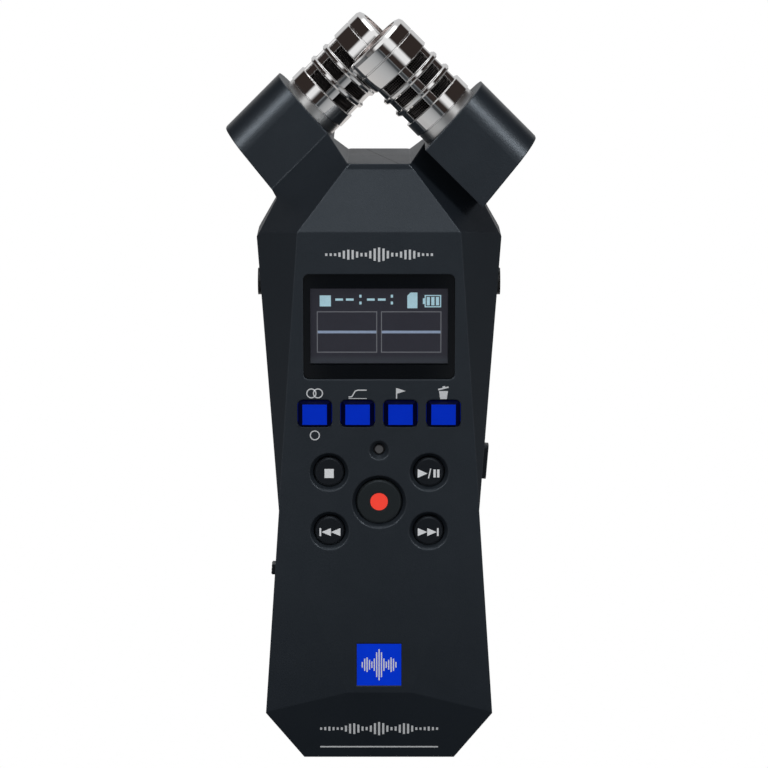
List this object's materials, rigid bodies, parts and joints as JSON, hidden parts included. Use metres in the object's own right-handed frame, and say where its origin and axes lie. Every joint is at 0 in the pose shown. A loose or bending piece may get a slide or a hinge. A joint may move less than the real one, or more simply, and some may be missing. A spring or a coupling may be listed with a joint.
{
  "type": "portable field recorder",
  "caption": "Handheld stereo field recorder: crossed chrome microphones over a faceted black case with a display, function keys, round transport buttons and a battery door.",
  "frame": {"origin": "centre of the flat foot, on the parting plane of the case, where the recorder stands", "axes": "+Z from the foot to the microphones, -Y out of the control face, +X to the right of a user who faces the controls"},
  "size_m": [0.0584, 0.0295, 0.1426],
  "materials": {
    "shell": "fine moulded grain, satin black",
    "inner_plastic": "plain moulded black",
    "window": "smoked clear window",
    "display": "dark negative display",
    "display_frame": "white light guide",
    "flex": "amber polyimide film",
    "key_blue": "satin saturated blue",
    "badge_blue": "glossy blue inlay",
    "button": "satin black caps",
    "record_red": "translucent red lens",
    "lamp": "smoked lens",
    "board": "green solder mask",
    "switch": "bright tinned steel",
    "chip": "moulded epoxy",
    "socket": "black socket body",
    "plated_steel": "nickel plated",
    "card": "black card",
    "cell": "wrapped cell, copper and black sleeve",
    "speaker": "stamped basket",
    "cloth": "woven dust cloth",
    "brass": "turned threaded insert",
    "screw": "black zinc plated",
    "chrome": "polished chrome plate",
    "mic_mesh": "fine woven steel lining",
    "capsule": "anodised capsule can",
    "cable": "screened cable jacket"
  },
  "bodies": {
    "case": {"front_shell": "shell", "rear_shell": "shell", "battery_tray": "inner_plastic", "display_window": "window", "lcd_module": "display", "lcd_frame": "display_frame", "lcd_flex": "flex", "status_lamp": "lamp", "badge_plate": "badge_blue", "main_board": "board", "tact_switches": "switch", "processor_chip": "chip", "converter_chip": "chip", "mic_jack": "socket", "phone_jack": "socket", "usb_port": "plated_steel", "card_socket": "plated_steel", "memory_card": "card", "door_pin": "plated_steel", "volume_switches": "chip", "power_switch": "switch", "battery_left": "cell", "battery_right": "cell", "battery_springs": "plated_steel", "battery_contacts": "plated_steel", "speaker": "speaker", "speaker_cloth": "cloth", "tripod_insert": "brass", "case_screws": "screw", "board_screws": "screw", "left_mic_grille": "chrome", "left_mic_mesh": "mic_mesh", "left_mic_base": "plated_steel", "left_mic_capsule": "capsule", "left_mic_cable": "cable", "right_mic_grille": "chrome", "right_mic_mesh": "mic_mesh", "right_mic_base": "plated_steel", "right_mic_capsule": "capsule", "right_mic_cable": "cable"},
    "mode_key": {"mode_key": "key_blue"},
    "filter_key": {"filter_key": "key_blue"},
    "marker_key": {"marker_key": "key_blue"},
    "delete_key": {"delete_key": "key_blue"},
    "stop_button": {"stop_button": "button"},
    "play_button": {"play_button": "button"},
    "record_button": {"record_button": "button", "record_dot": "record_red"},
    "rewind_button": {"rewind_button": "button"},
    "forward_button": {"forward_button": "button"},
    "volume_rocker": {"volume_rocker": "button"},
    "power_slider": {"power_slider": "button"},
    "card_door": {"card_door": "shell"},
    "battery_cover": {"battery_cover": "shell"}
  },
  "joints": [
    {"name": "mode_key_press", "type": "slide", "parent": "case", "child": "mode_key", "axis": [0, 1, 0], "range_m": [0, 0.0005]},
    {"name": "filter_key_press", "type": "slide", "parent": "case", "child": "filter_key", "axis": [0, 1, 0], "range_m": [0, 0.0005]},
    {"name": "marker_key_press", "type": "slide", "parent": "case", "child": "marker_key", "axis": [0, 1, 0], "range_m": [0, 0.0005]},
    {"name": "delete_key_press", "type": "slide", "parent": "case", "child": "delete_key", "axis": [0, 1, 0], "range_m": [0, 0.0005]},
    {"name": "stop_button_press", "type": "slide", "parent": "case", "child": "stop_button", "axis": [0, 1, 0], "range_m": [0, 0.0005]},
    {"name": "play_button_press", "type": "slide", "parent": "case", "child": "play_button", "axis": [0, 1, 0], "range_m": [0, 0.0005]},
    {"name": "record_button_press", "type": "slide", "parent": "case", "child": "record_button", "axis": [0, 1, 0], "range_m": [0, 0.0005]},
    {"name": "rewind_button_press", "type": "slide", "parent": "case", "child": "rewind_button", "axis": [0, 1, 0], "range_m": [0, 0.0005]},
    {"name": "forward_button_press", "type": "slide", "parent": "case", "child": "forward_button", "axis": [0, 1, 0], "range_m": [0, 0.0005]},
    {"name": "volume_rocker_tip", "type": "hinge", "parent": "case", "child": "volume_rocker", "pos_m": [0.01659, -0.0034, 0.05774], "axis": [0, 1, 0], "range_deg": [-3, 3]},
    {"name": "power_slider_slide", "type": "slide", "parent": "case", "child": "power_slider", "axis": [0.069, 0, 0.9976], "range_m": [-0.0018, 0.0018]},
    {"name": "card_door_open", "type": "hinge", "parent": "case", "child": "card_door", "pos_m": [-0.01934, -0.005, 0.06328], "axis": [0, -1, 0], "range_deg": [0, 100]},
    {"name": "battery_cover_off", "type": "slide", "parent": "case", "child": "battery_cover", "axis": [0, 1, 0], "range_m": [0, 0.025]}
  ]
}
